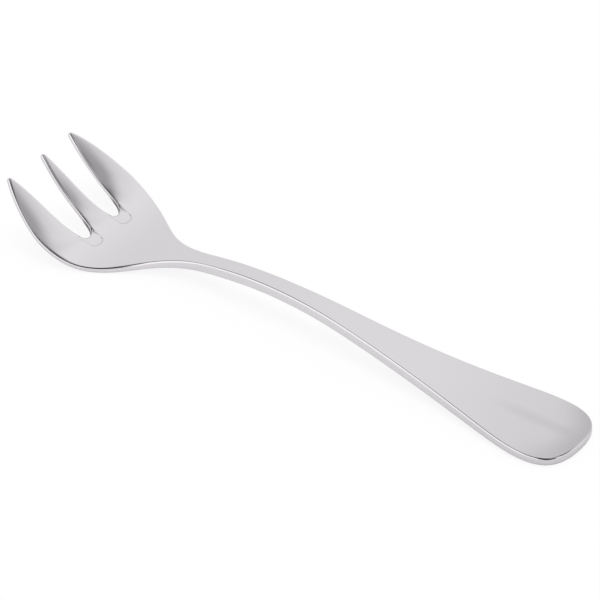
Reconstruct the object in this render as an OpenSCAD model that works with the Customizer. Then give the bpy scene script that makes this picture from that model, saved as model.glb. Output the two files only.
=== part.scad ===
// Oyster fork with three tines, stamped from one sheet of steel, coined and bent.
// The fork lies as it would on a table: +X runs from the tine tips to the handle end,
// +Z is up, and the origin is under the middle of the fork, on the table.
// The outline is drawn on the flat blank. A distance "along" is measured on the blank
// from the tips of the outer tines, a distance "out" from its middle line. The blank
// is then bent to the side view.

/* [Blank along its length] */
// whole length of the flat blank
blank_length = 149.5; // [140:0.5:165]
// where the head is widest
head_at = 16; // [14:0.25:18]
// where the shoulders have run down to the neck
neck_at = 52; // [47:0.5:57]
// where the handle begins to widen
flare_at = 62; // [58:0.5:70]
// where the rounded end of the handle begins
end_at = 137.5; // [130:0.5:138]

/* [Blank across] */
// full width of the head at its widest
head_width = 31; // [29:0.25:34]
// full width of the neck
neck_width = 4.4; // [3.6:0.1:6]
// full width of the handle where its rounded end begins
end_width = 19.4; // [16:0.1:22]
// how far the handle sides still open there, in degrees
end_lean = 5; // [2:0.5:8]

/* [Fullness of the outline curves] */
// how far along the front of the head is pulled out
front_pull_at = 3.2; // [2.6:0.1:4]
// how far out the front of the head is pulled
front_pull_out = 12.9; // [12.3:0.1:13.4]
// length of the pull ahead of the widest place
head_pull = 4.5; // [3:0.1:6]
// length of the pull behind the widest place
shoulder_pull = 16; // [13:0.25:18]
// length of the pull ahead of the neck
neck_pull = 19; // [15:0.25:21]
// length of the pull where the handle begins to widen
flare_pull = 46; // [36:0.5:52]
// length of the pull ahead of the rounded end
end_pull = 10; // [7:0.25:13]
// length of the pull into the rounded end
cap_pull = 7; // [5:0.1:8]
// how far out the very end is pulled
cap_pull_out = 9; // [7:0.1:10]

/* [Tines and slots] */
// how far the bottoms of both slots lie behind the tips
slot_depth = 21.15; // [19:0.05:23]
// how far out the middle line of each slot lies
slot_out = 4.9; // [4.7:0.05:5.3]
// how far along the slot sides are pulled in
slot_pull_at = 11.1; // [9:0.1:12.5]
// half the width the slot sides are pulled to
slot_pull_half = 2; // [1.6:0.05:2.4]
// half the width the bottom of a slot is pulled to
root_pull_half = 3.25; // [2.4:0.05:3.5]
// radius of the rounded tine tips, seen from above
tip_radius = 0.65; // [0.6:0.01:0.8]
// how far out the tips of the outer tines lie
tip_out = 10.35; // [10:0.05:10.8]
// how much shorter the middle tine is
middle_setback = 1.1; // [0.4:0.1:2.4]
// how much higher the tip of the middle tine is bent
middle_lift = 1.3; // [0.5:0.1:2.5]

/* [Bends] */
// fall at the tine tips, in degrees
tip_fall = 35; // [28:0.5:42]
// steepest fall of the tines, in degrees
tine_fall = 38; // [30:0.5:44]
// where the tines are steepest
tine_bend_at = 5; // [3:0.25:8]
// fall near the slot bottoms, in degrees
root_fall = 30; // [24:0.5:34]
// where that fall is reached
root_bend_at = 17; // [15:0.25:19]
// steepest rise towards the neck, in degrees
neck_rise = 16; // [12:0.5:20]
// where that rise is reached
neck_bend_at = 37.5; // [34:0.25:41]
// where the arched handle is level
crest_at = 74; // [68:0.5:80]
// steepest fall of the handle, in degrees
handle_fall = 7; // [5:0.25:9]
// where that fall is reached
handle_bend_at = 94; // [88:0.5:104]
// fall at the end of the handle, in degrees
end_fall = 2; // [0.5:0.25:4]

/* [Sheet thickness] */
// thickness of the tines
tine_thickness = 1.2; // [1.1:0.05:1.6]
// where the tines stop being this thin
tine_thin_to = 14; // [11:0.5:17]
// thickness of the head behind the slots
palm_thickness = 1.4; // [1.25:0.05:2]
// where the head has this thickness
palm_at = 30; // [26:0.5:34]
// thickness of the neck and most of the handle
handle_thickness = 2.5; // [2.1:0.05:3]
// where the full thickness begins
full_from = 60; // [54:0.5:66]
// where the full thickness stops
full_to = 100; // [92:0.5:112]
// thickness at the end of the handle
end_thickness = 2; // [1.7:0.05:2.5]

/* [Rounded rim and faces] */
// how far in from the outline the rounded rim reaches
rim_width = 0.45; // [0.3:0.01:0.55]
// height of the rounding along the upper edge
upper_round = 0.45; // [0.3:0.01:0.55]
// height of the rounding along the lower edge
lower_round = 0.35; // [0.2:0.01:0.45]
// radius of the domed upper faces of the tines
tine_dome = 25; // [18:0.5:45]
// where the doming of the tines begins to fade
dome_from = 12; // [8:0.25:15]
// where the head is flat across
dome_to = 21; // [19:0.25:25]
// radius of the domed upper face of the handle
handle_dome = 250; // [150:5:600]

/* [Coined flats behind the slots] */
// how far the flats reach back from the bottoms of the slots
flat_length = 3; // [2.2:0.05:3.6]
// how far out the middle line of each flat lies
flat_out = 5; // [4.8:0.05:5.2]
// half the width of the flats
flat_half = 2; // [1.7:0.05:2.2]
// length of the straight part of their far edge, from its middle
flat_corner = 1.6; // [0.8:0.05:1.8]
// depth of the flats at the slots
flat_depth = 0.35; // [0.15:0.01:0.4]
// height of the small step around the flats
flat_step = 0.1; // [0.04:0.01:0.14]
// width of that step along the fork
flat_wall = 0.15; // [0.08:0.01:0.3]

/* [Hidden] */
// rows of points along a tine, and between the slots and the narrow part
tine_rows = 16;
relax_rows = 5;
palm_rows = 14;
// rows of points along the handle and into its rounded end
handle_rows = 38;
cap_rows = 5;
// columns of points across an outer tine, a slot and the middle tine
outer_cols = 6;
slot_cols = 12;
middle_cols = 4;
// steps of the side view
bend_steps = 300;
// steps of the search for a place on a curve
search_steps = 22;
// angles of the points around the rounded rim
rim_angles = [30, 60, 90];
// share of a slot side after which its round bottom begins
root_share = 0.7;
// share of the rounded handle end after which the last row begins
cap_share = 0.5;
// how much closer the rows stand at the tine tips
tip_crowding = 1.3;
// share of the edge thickness that both roundings may take up together
round_share = 0.9;

half_head = head_width / 2;
half_neck = neck_width / 2;
half_end = end_width / 2;
head_cols = 2 * (outer_cols + slot_cols) + middle_cols;
half_cols = head_cols / 2;
handle_cols = head_cols / 2;
mid_col = middle_cols / 2;

// Curves of the outline

// point of a curve with the four pulling points c, t runs from 0 to 1
function curve(c, t) =
    c[0] * pow(1 - t, 3) + c[1] * 3 * t * pow(1 - t, 2) + c[2] * 3 * t * t * (1 - t) + c[3] * pow(t, 3);

// the t at which a curve has come as far along as s
function find(c, s, low = 0, high = 1, steps = search_steps) =
    let(t = (low + high) / 2)
    steps == 0 ? t :
    curve(c, t)[0] < s ? find(c, s, t, high, steps - 1) : find(c, s, low, t, steps - 1);

function curve_at(c, s) = [s, curve(c, find(c, s))[1]];

// place where a line from p touches a circle, side 1 is to the left as seen from the middle
function touch(middle, radius, p, side) =
    let(d = p - middle, turn = atan2(d[1], d[0]) + side * acos(radius / norm(d)))
    middle + radius * [cos(turn), sin(turn)];

function turn_of(middle, p) = atan2(p[1] - middle[1], middle[0] - p[0]);

// points of a round tip from one touching place to the other
function tip_arc(middle, from, to, count) =
    [for (i = [0:count]) let(a = from + (to - from) * i / count)
        middle + tip_radius * [-cos(a), sin(a)]];

outer_tip = [tip_radius, tip_out];
middle_tip = [middle_setback + tip_radius, 0];
front_pull = [front_pull_at, front_pull_out];
inner_pull = [slot_pull_at, slot_out + slot_pull_half];
middle_pull = [slot_pull_at, slot_out - slot_pull_half];
outer_touch = touch(outer_tip, tip_radius, front_pull, 1);
inner_touch = touch(outer_tip, tip_radius, inner_pull, -1);
middle_touch = touch(middle_tip, tip_radius, middle_pull, 1);

front_curve = [outer_touch, front_pull, [head_at - head_pull, half_head], [head_at, half_head]];
shoulder_curve = [[head_at, half_head], [head_at + shoulder_pull, half_head],
    [neck_at - neck_pull, half_neck], [neck_at, half_neck]];
flare_curve = [[flare_at, half_neck], [flare_at + flare_pull, half_neck],
    [end_at - end_pull * cos(end_lean), half_end - end_pull * sin(end_lean)], [end_at, half_end]];
cap_curve = [[end_at, half_end], [end_at + cap_pull * cos(end_lean), half_end + cap_pull * sin(end_lean)],
    [blank_length, cap_pull_out], [blank_length, 0]];
inner_curve = [inner_touch, inner_pull, [slot_depth, slot_out + root_pull_half], [slot_depth, slot_out]];
middle_curve = [middle_touch, middle_pull, [slot_depth, slot_out - root_pull_half], [slot_depth, slot_out]];

// outer edge of the blank
function edge_at(s) =
    s < head_at ? curve_at(front_curve, s) :
    s < neck_at ? curve_at(shoulder_curve, s) :
    s < flare_at ? [s, half_neck] : curve_at(flare_curve, s);

// Rows along the blank

inner_side = curve(inner_curve, root_share);
middle_side = curve(middle_curve, root_share);
root_from = inner_side[0];
narrow_from = slot_depth + 2 * flat_length;
narrow_to = (root_from + neck_at) / 2 + flat_length;
flat_reach = flat_length - rim_width;

function tine_row(from, to, i) = from + (to - from) * pow(i / tine_rows, tip_crowding);
function outer_row(i) = tine_row(tip_radius, inner_side[0], i);
function middle_row(i) = tine_row(middle_tip[0], middle_side[0], i);

// how far behind the slot row each row of the head lies
head_steps = concat(
    [0, (flat_reach - flat_wall) / 2, flat_reach - flat_wall, flat_reach],
    [for (i = [1:relax_rows]) flat_reach + (narrow_from - root_from - flat_reach) * i / relax_rows],
    [for (i = [1:palm_rows - 3 - relax_rows])
        narrow_from - root_from + (narrow_to - narrow_from) * i / (palm_rows - 3 - relax_rows)]);

function handle_row(i) = narrow_to + (end_at - narrow_to) * (i + 1) / (handle_rows + 1);

// Half of the outline, from the middle tine tip round to the middle of the handle end

middle_turn = turn_of(middle_tip, middle_touch);
inner_turn = turn_of(outer_tip, inner_touch);
outer_turn = turn_of(outer_tip, outer_touch);
handle_last = handle_rows + cap_rows;

outline = concat(
    tip_arc(middle_tip, 0, middle_turn, mid_col),
    [for (i = [1:tine_rows - 1]) curve_at(middle_curve, middle_row(i))],
    [for (j = [0:slot_cols / 2])
        curve(middle_curve, root_share + (1 - root_share) * 2 * j / slot_cols)],
    [for (j = [slot_cols / 2 - 1:-1:0])
        curve(inner_curve, root_share + (1 - root_share) * 2 * j / slot_cols)],
    [for (i = [tine_rows - 1:-1:1]) curve_at(inner_curve, outer_row(i))],
    tip_arc(outer_tip, inner_turn, outer_turn, outer_cols),
    [for (i = [1:tine_rows - 1]) edge_at(outer_row(i))],
    [for (step = head_steps) edge_at(root_from + step)],
    [for (i = [0:handle_rows - 1]) edge_at(handle_row(i))],
    [for (i = [0:cap_rows]) curve(cap_curve, cap_share * i / cap_rows)],
    [for (j = [1:handle_cols / 2]) curve(cap_curve, cap_share + (1 - cap_share) * 2 * j / handle_cols)]);

last = len(outline) - 1;
// where each stretch of the outline begins in that list
at_middle = mid_col;
at_root = at_middle + tine_rows;
at_inner = at_root + slot_cols;
at_tip = at_inner + tine_rows;
at_outer = at_tip + outer_cols;
at_head = at_outer + tine_rows;
at_handle = at_head + palm_rows + 1;
at_end = at_handle + handle_last;

function flip(p) = [p[0], -p[1]];
function neighbour(i) = i < 0 ? flip(outline[1]) : i > last ? flip(outline[last - 1]) : outline[i];

// direction straight out of the blank at each point of the outline
outward = [for (i = [0:last])
    let(a = outline[i] - neighbour(i - 1), b = neighbour(i + 1) - outline[i],
        along = a * norm(b) / norm(a) + b * norm(a) / norm(b),
        unit = along / norm(along))
    [-unit[1], unit[0]]];

// the same outline moved in by the width of the rounded rim
inset = [for (i = [0:last]) outline[i] - rim_width * outward[i]];

// Rows of points as [along, out, drop of the upper face, lift of the whole place]

function mix(p, q, f) = p + (q - p) * f;
function ease(f) = let(g = min(max(f, 0), 1)) g * g * (3 - 2 * g);

// drop of a domed tine at the distance off from the middle of the tine
function tine_drop(s, off) =
    (1 - ease((s - dome_from) / (dome_to - dome_from))) * off * off / (2 * tine_dome);

// points across a tine between the inset edges p and q
function tine_points(p, q, cols, lift) =
    [for (j = [0:cols]) let(x = mix(p, q, j / cols))
        [x[0], x[1], tine_drop(x[0], norm(x - (p + q) / 2)), lift]];

function tip_points(list, lift) =
    [for (p = list) [p[0], p[1], tine_drop(p[0], norm(p - (list[0] + list[len(list) - 1]) / 2)), lift]];

function mirrored(row) = [for (j = [len(row) - 1:-1:0]) [row[j][0], -row[j][1], row[j][2], row[j][3]]];

// lift of the middle tine, growing towards its tip
function lift_at(s) = middle_lift * pow(max(middle_side[0] - s, 0) / (middle_side[0] - middle_setback), 2);

function inner_point(i) = inset[at_inner + tine_rows - i];
function outer_point(i) = inset[at_outer + i];

outer_tine = concat(
    [tip_points([for (j = [0:outer_cols]) inset[at_tip + j]], 0)],
    [for (i = [1:tine_rows - 1]) tine_points(inner_point(i), outer_point(i), outer_cols, 0)]);

middle_tip_half = [for (j = [1:mid_col]) inset[j]];
middle_tip_line = concat(
    [for (j = [mid_col - 1:-1:0]) flip(middle_tip_half[j])], [inset[0]], middle_tip_half);
middle_tine = concat(
    [tip_points(middle_tip_line, lift_at(middle_setback))],
    [for (i = [1:tine_rows - 1]) let(p = inset[at_middle + i])
        tine_points(flip(p), p, middle_cols, lift_at(p[0]))]);

// the slot bottom, moved in by the rim, and the far border of the coined flat behind it
root_line = [for (j = [0:slot_cols]) inset[at_root + j]];
flat_end = slot_depth + flat_length;
flat_side = root_line[1][0] + flat_reach / 2;
flat_curve = [[flat_side, flat_half], [flat_end - (flat_half - flat_corner), flat_half],
    [flat_end, flat_corner], [flat_end, 0]];
function flat_border(j) =
    let(f = 2 * (j - 1) / (slot_cols - 2), c = curve(flat_curve, f <= 1 ? f : 2 - f))
    [c[0], flat_out + (f <= 1 ? -c[1] : c[1])];
flat_line = [for (j = [0:slot_cols])
    j == 0 || j == slot_cols ? [inset[at_head + 3][0], root_line[j][1]] : flat_border(j)];
// share of the way from the slot bottom to the border at each row of points
flat_row_shares = [0, 0.5, 1 - flat_wall / flat_reach, 1];
join_from = narrow_from - root_from;
join_half = inset[at_head + 3 + relax_rows][1];

// depth of the coined flat at column j of a slot in row p of the head
function flat_drop(p, j) =
    j <= 1 || j >= slot_cols - 1 || p >= 3 ? 0 :
    flat_step + (flat_depth - flat_step) * (1 - flat_row_shares[p] / flat_row_shares[2]);

// column j of a slot in row p of the head, whose edge is at the place edge
function slot_point(p, j, edge) =
    let(fade = 1 - ease((head_steps[p] - flat_reach) / (join_from - flat_reach)),
        narrow = head_steps[p] > join_from ? edge[1] / join_half : 1)
    p <= 3 ? mix(root_line[j], flat_line[j], flat_row_shares[p]) :
    [edge[0] + (flat_line[j][0] - inset[at_head + 3][0]) * fade, flat_line[j][1] * narrow];

// half a row of the head, from the middle line to the edge
function head_half(p) =
    let(edge = inset[at_head + p],
        bottom = [for (j = [0:slot_cols]) slot_point(p, j, edge)],
        near = bottom[0], far = bottom[slot_cols],
        near_off = root_line[0][1], far_off = (inset[at_head][1] - root_line[slot_cols][1]) / 2)
    concat(
        [for (j = [0:mid_col - 1]) let(f = j / mid_col)
            [near[0], near[1] * f, tine_drop(near[0], near_off * f), 0]],
        [for (j = [0:slot_cols]) let(off = near_off + (far_off - near_off) * j / slot_cols)
            [bottom[j][0], bottom[j][1], tine_drop(bottom[j][0], off) + flat_drop(p, j), 0]],
        [for (j = [1:outer_cols]) let(f = j / outer_cols, x = mix(far, edge, f))
            [x[0], x[1], tine_drop(x[0], far_off * (1 - 2 * f)), 0]]);

// rise of the doming of the handle along the neck
function handle_drop(s, y) = ease((s - narrow_to) / (flare_at - narrow_to)) * y * y / (2 * handle_dome);

// half a row of the handle with its edge at e
function handle_half(e) =
    [for (j = [0:handle_cols / 2]) let(y = e[1] * 2 * j / handle_cols) [e[0], y, handle_drop(e[0], y), 0]];

// half a row of the rounded end: rows bend from straight to the outline of the end
cap_line = [for (j = [0:handle_cols / 2]) inset[last - j]];
function cap_half(i) =
    let(f = i / cap_rows, start = inset[at_handle + handle_rows], e = inset[at_handle + handle_rows + i])
    [for (j = [0:handle_cols / 2])
        let(u = 2 * j / handle_cols,
            rows = mix([start[0], start[1] * u], cap_line[j], f),
            sides = mix([mix(start[0], cap_line[0][0], f), 0], e, u),
            corners = mix(mix([start[0], 0], start, u), mix(cap_line[0], cap_line[handle_cols / 2], u), f),
            x = rows + sides - corners)
        [x[0], x[1], handle_drop(x[0], x[1]), 0]];

function whole(half) = concat(mirrored([for (j = [1:len(half) - 1]) half[j]]), half);

rows_outer_low = [for (row = outer_tine) mirrored(row)];
rows_head = [for (p = [0:palm_rows]) whole(head_half(p))];
rows_handle = concat(
    [for (i = [0:handle_rows - 1]) whole(handle_half(inset[at_handle + i]))],
    [for (i = [0:cap_rows]) whole(cap_half(i))]);

function flat(rows) = [for (row = rows) for (p = row) p];
grid = concat(
    flat(rows_outer_low), flat(middle_tine), flat(outer_tine), flat(rows_head), flat(rows_handle));

// Side view and thickness as smooth curves through stations

slope_stations = [[0, -tip_fall], [tine_bend_at, -tine_fall], [root_bend_at, -root_fall],
    [neck_bend_at, neck_rise], [crest_at, 0], [handle_bend_at, -handle_fall], [blank_length, -end_fall]];
thickness_stations = [[0, tine_thickness], [tine_thin_to, tine_thickness], [palm_at, palm_thickness],
    [full_from, handle_thickness], [full_to, handle_thickness], [blank_length, end_thickness]];

function rise(list, k) = (list[k + 1][1] - list[k][1]) / (list[k + 1][0] - list[k][0]);

// steepness of the smooth curve at station k: level where the stations turn back
function lean(list, k) =
    k == 0 ? rise(list, 0) :
    k == len(list) - 1 ? rise(list, k - 1) :
    rise(list, k - 1) * rise(list, k) <= 0 ? 0 :
    2 / (1 / rise(list, k - 1) + 1 / rise(list, k));

function span_of(list, s, k = 0) = k == len(list) - 2 || s < list[k + 1][0] ? k : span_of(list, s, k + 1);

function smooth(list, s) =
    let(k = span_of(list, s), width = list[k + 1][0] - list[k][0],
        u = min(max((s - list[k][0]) / width, 0), 1))
    list[k][1] * (1 + 2 * u) * pow(1 - u, 2) + lean(list, k) * width * u * pow(1 - u, 2)
    + list[k + 1][1] * u * u * (3 - 2 * u) + lean(list, k + 1) * width * u * u * (u - 1);

bend_step = blank_length / bend_steps;
function mid_slope(i) = smooth(slope_stations, (i + 0.5) * bend_step);
spine = [for (i = 0, x = 0, z = 0; i <= bend_steps;
    x = x + bend_step * cos(mid_slope(i)), z = z + bend_step * sin(mid_slope(i)), i = i + 1)
    [i * bend_step, x, z, smooth(slope_stations, i * bend_step)]];
spine_x = [for (q = spine) [q[0], q[1]]];
spine_z = [for (q = spine) [q[0], q[2]]];
spine_turn = [for (q = spine) [q[0], q[3]]];

function thickness_at(s) = smooth(thickness_stations, s);

// place of a point of the blank after bending, at the height n over the upper face
function bent(s, y, n, lift) =
    let(a = lookup(s, spine_turn))
    [lookup(s, spine_x) - n * sin(a), y, lookup(s, spine_z) + n * cos(a) + lift];

upper = [for (g = grid) bent(g[0], g[1], -g[2], g[3])];
lower = [for (g = grid) bent(g[0], g[1], -thickness_at(g[0]), g[3])];

// Numbers of the points in the grid

tine_start = [0, tine_rows * (outer_cols + 1), tine_rows * (outer_cols + middle_cols + 2)];
tine_cols = [outer_cols, middle_cols, outer_cols];
tine_at_col = [0, outer_cols + slot_cols, outer_cols + 2 * slot_cols + middle_cols];
head_start = tine_rows * (2 * outer_cols + middle_cols + 3);
handle_start = head_start + (palm_rows + 1) * (head_cols + 1);
count = len(grid);

function head_id(p, j) = head_start + p * (head_cols + 1) + j;
function handle_id(i, j) = handle_start + i * (handle_cols + 1) + j;
function tine_id(tine, i, j) =
    i == tine_rows ? head_id(0, tine_at_col[tine] + j) : tine_start[tine] + i * (tine_cols[tine] + 1) + j;

// numbers of the points around half of the outline, side 1 is the +Y half
function half_loop(side) =
    let(tine = side > 0 ? 2 : 0,
        o = function(j) side > 0 ? j : outer_cols - j,
        m = function(j) side > 0 ? mid_col + j : mid_col - j,
        h = function(j) side > 0 ? half_cols + j : half_cols - j,
        g = function(j) side > 0 ? handle_cols / 2 + j : handle_cols / 2 - j)
    concat(
        [for (j = [0:mid_col]) tine_id(1, 0, m(j))],
        [for (i = [1:tine_rows - 1]) tine_id(1, i, m(mid_col))],
        [for (j = [0:slot_cols]) head_id(0, h(mid_col + j))],
        [for (i = [tine_rows - 1:-1:1]) tine_id(tine, i, o(0))],
        [for (j = [0:outer_cols]) tine_id(tine, 0, o(j))],
        [for (i = [1:tine_rows - 1]) tine_id(tine, i, o(outer_cols))],
        [for (p = [0:palm_rows]) head_id(p, h(half_cols))],
        [for (i = [0:handle_last]) handle_id(i, g(handle_cols / 2))],
        [for (j = [handle_cols / 2 - 1:-1:0]) handle_id(handle_last, g(j))]);

plus_loop = half_loop(1);
minus_loop = half_loop(-1);
loop = concat(plus_loop, [for (i = [last - 1:-1:1]) minus_loop[i]]);
loop_outward = concat(outward, [for (i = [last - 1:-1:1]) flip(outward[i])]);
around = len(loop);

// Rounded rim

// a point of the rim: angle 0 is at the face, 90 at the outline, side 1 is the upper edge
function rim_point(i, angle, side) =
    let(g = grid[loop[i]], out = rim_width * sin(angle),
        s = g[0] + loop_outward[i][0] * out, y = g[1] + loop_outward[i][1] * out,
        t = thickness_at(g[0]), room = (t - g[2]) * round_share,
        shrink = min(1, room / (upper_round + lower_round)))
    side > 0 ? bent(s, y, -g[2] - upper_round * shrink * (1 - cos(angle)), g[3]) :
    bent(s, y, -t + lower_round * shrink * (1 - cos(angle)), g[3]);

rim = concat(
    [for (angle = rim_angles) for (i = [0:around - 1]) rim_point(i, angle, 1)],
    [for (k = [len(rim_angles) - 1:-1:0]) for (i = [0:around - 1]) rim_point(i, rim_angles[k], -1)]);
rings = 2 * len(rim_angles);

// number of point i of ring r: ring 0 is the upper face, the last ring the lower face
function ring_id(r, i) =
    let(k = i % around)
    r == 0 ? loop[k] : r == rings + 1 ? count + loop[k] : 2 * count + (r - 1) * around + k;

// Faces

// two triangles of the upper face and of the lower face
function upper_pair(a, b, c, d) = [[a, d, c], [a, c, b]];
function lower_pair(a, b, c, d) = [[a + count, c + count, d + count], [a + count, b + count, c + count]];

cells = concat(
    [for (tine = [0:2]) for (i = [0:tine_rows - 1]) for (j = [0:tine_cols[tine] - 1])
        [tine_id(tine, i, j), tine_id(tine, i + 1, j),
            tine_id(tine, i + 1, j + 1), tine_id(tine, i, j + 1)]],
    [for (p = [0:palm_rows - 1]) for (j = [0:head_cols - 1])
        [head_id(p, j), head_id(p + 1, j), head_id(p + 1, j + 1), head_id(p, j + 1)]],
    [for (i = [0:handle_last - 1]) for (j = [0:handle_cols - 1])
        [handle_id(i, j), handle_id(i + 1, j), handle_id(i + 1, j + 1), handle_id(i, j + 1)]]);

// triangles between the last row of the head and the first row of the handle
narrowing = [for (j = [0:handle_cols - 1])
    let(a = head_id(palm_rows, 2 * j), b = a + 1, c = a + 2, p = handle_id(0, j), q = p + 1)
    each [[a, b, p], [b, c, q], [b, q, p]]];

rim_faces = [for (r = [0:rings]) for (i = [0:around - 1])
    each [[ring_id(r, i + 1), ring_id(r, i), ring_id(r + 1, i)],
        [ring_id(r, i + 1), ring_id(r + 1, i), ring_id(r + 1, i + 1)]]];

all_faces = concat(
    [for (c = cells) each upper_pair(c[0], c[1], c[2], c[3])],
    [for (c = cells) each lower_pair(c[0], c[1], c[2], c[3])],
    narrowing,
    [for (f = narrowing) [f[0] + count, f[2] + count, f[1] + count]],
    rim_faces);

// Lying on the table: the fork is tilted until belly and handle end both touch

all_points = concat(upper, lower, rim);
belly_limit = lookup(neck_at, spine_x);
belly = min([for (p = all_points) if (p[0] < belly_limit) p[2]]);
belly_x = [for (p = all_points) if (p[0] < belly_limit && p[2] == belly) p[0]][0];
heel = min([for (p = all_points) if (p[0] > belly_limit) p[2]]);
heel_x = [for (p = all_points) if (p[0] > belly_limit && p[2] == heel) p[0]][0];
rest_tilt = atan2(heel - belly, heel_x - belly_x);

function tilted(p) =
    [p[0] * cos(rest_tilt) + p[2] * sin(rest_tilt), p[1], p[2] * cos(rest_tilt) - p[0] * sin(rest_tilt)];
tilted_points = [for (p = all_points) tilted(p)];
front_x = min([for (p = tilted_points) p[0]]);
back_x = max([for (p = tilted_points) p[0]]);
low_z = min([for (p = tilted_points) p[2]]);
points = [for (p = tilted_points) p - [(front_x + back_x) / 2, 0, low_z]];

// The fork, one piece
module fork() {
    color([0.74, 0.74, 0.76])
        polyhedron(points = points, faces = all_faces, convexity = 6);
}

fork();
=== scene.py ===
"""An oyster fork with three tines, in polished steel, lying on a white table.

The fork is made the way it is made in steel: a blank with rounded tines, slots and a
widening handle is laid out flat, gets its thickness and its rounded rim, and is then
bent to its side view. Blank sizes are in millimetres: "along" is measured on the flat
blank from the tips of the outer tines, "out" from its middle line.
"""

from __future__ import annotations

import logging
import math
from dataclasses import dataclass, field
from enum import Enum
from functools import cached_property
from typing import Any, Callable, Sequence

import bmesh
import bpy
from mathutils import Matrix, Vector

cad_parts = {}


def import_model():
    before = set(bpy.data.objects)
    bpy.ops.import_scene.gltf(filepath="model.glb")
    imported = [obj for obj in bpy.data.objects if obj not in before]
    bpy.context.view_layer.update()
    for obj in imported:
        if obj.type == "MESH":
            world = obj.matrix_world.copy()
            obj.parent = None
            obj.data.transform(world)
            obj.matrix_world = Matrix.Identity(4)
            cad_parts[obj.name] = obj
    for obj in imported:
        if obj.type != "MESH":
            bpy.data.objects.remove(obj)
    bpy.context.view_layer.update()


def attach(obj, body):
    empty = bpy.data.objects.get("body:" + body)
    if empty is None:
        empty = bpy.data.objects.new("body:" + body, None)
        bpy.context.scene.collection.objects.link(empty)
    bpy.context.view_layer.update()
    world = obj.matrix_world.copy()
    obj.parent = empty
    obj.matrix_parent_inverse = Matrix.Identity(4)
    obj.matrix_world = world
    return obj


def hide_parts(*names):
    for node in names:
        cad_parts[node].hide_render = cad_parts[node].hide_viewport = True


MM = 0.001
LOG = logging.getLogger("oyster_fork")
NODE = "fork"
BODY = "root"
# Points that lie nearer to each other than this, in millimetres, are one.
MERGE = 1e-4
HALVINGS = 24


def ease(share: float) -> float:
    """Runs smoothly from 0 to 1, and stays level outside."""
    kept = min(max(share, 0.0), 1.0)
    return kept * kept * (3 - 2 * kept)


def turned(degrees: float, length: float = 1.0) -> Vector:
    """A vector of a length, turned from the along direction towards out."""
    return Vector((math.cos(math.radians(degrees)), math.sin(math.radians(degrees)))) * length


@dataclass(frozen=True)
class EdgePoint:
    """A place on the outline of the blank, and the direction straight out of the steel."""

    place: Vector
    outward: Vector

    def inset(self, width: float) -> Vector:
        """The place moved into the steel by a width."""
        return self.place - self.outward * width


@dataclass(frozen=True)
class PulledCurve:
    """A smooth curve between two ends, drawn towards two pulling points.

    The steel lies to the right of the curve, or to the left where side is -1. A share is
    how far along the curve a point lies, from 0 to 1.
    """

    start: Vector
    first_pull: Vector
    second_pull: Vector
    end: Vector
    side: int = 1

    def place(self, share: float) -> Vector:
        """The point at a share of the way."""
        rest = 1 - share
        return (self.start * rest**3 + self.first_pull * (3 * share * rest**2)
                + self.second_pull * (3 * share**2 * rest) + self.end * share**3)

    def edge(self, share: float) -> EdgePoint:
        """The point at a share of the way, with its outward direction.

        Args:
            share: the share of the way.

        Returns:
            The point of the edge.
        """
        rest = 1 - share
        run = ((self.first_pull - self.start) * rest**2
               + (self.second_pull - self.first_pull) * (2 * share * rest)
               + (self.end - self.second_pull) * share**2).normalized()
        return EdgePoint(self.place(share), Vector((-run.y, run.x)) * self.side)

    def share_where(self, reached: Callable[[float], bool], low: float = 0.0) -> float:
        """Finds the share from which a condition holds.

        Args:
            reached: says whether the condition holds at a share.
            low: a share at which it doesn't hold yet.

        Returns:
            The first share at which it holds, to less than a millionth.
        """
        high = 1.0
        for _ in range(HALVINGS):
            middle = (low + high) / 2
            if reached(middle):
                high = middle
            else:
                low = middle
        return (low + high) / 2

    def crossing(self, along: float) -> EdgePoint:
        """The point that lies a distance along the blank."""
        return self.edge(self.share_where(lambda share: self.place(share).x >= along))


@dataclass(frozen=True)
class RoundTip:
    """The round end of a tine, seen from above."""

    middle: Vector
    radius: float

    def touch(self, pull: Vector, side: int) -> Vector:
        """Where a line from a pulling point touches the circle.

        Args:
            pull: the pulling point.
            side: 1 for the touch on the left, seen from the circle, -1 for the right.

        Returns:
            The touching point.
        """
        run = pull - self.middle
        turn = math.atan2(run.y, run.x) + side * math.acos(self.radius / run.length)
        return self.middle + Vector((math.cos(turn), math.sin(turn))) * self.radius

    def edge(self, first: Vector, last: Vector, share: float) -> EdgePoint:
        """A point round the front of the tine.

        Args:
            first: the touching point where the front starts.
            last: the touching point where it ends.
            share: how far round the front, from 0 to 1.

        Returns:
            The point of the edge.
        """
        turns = [math.atan2(p.y - self.middle.y, self.middle.x - p.x) for p in (first, last)]
        turn = turns[0] + (turns[1] - turns[0]) * share
        outward = Vector((-math.cos(turn), math.sin(turn)))
        return EdgePoint(self.middle + outward * self.radius, outward)


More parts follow.
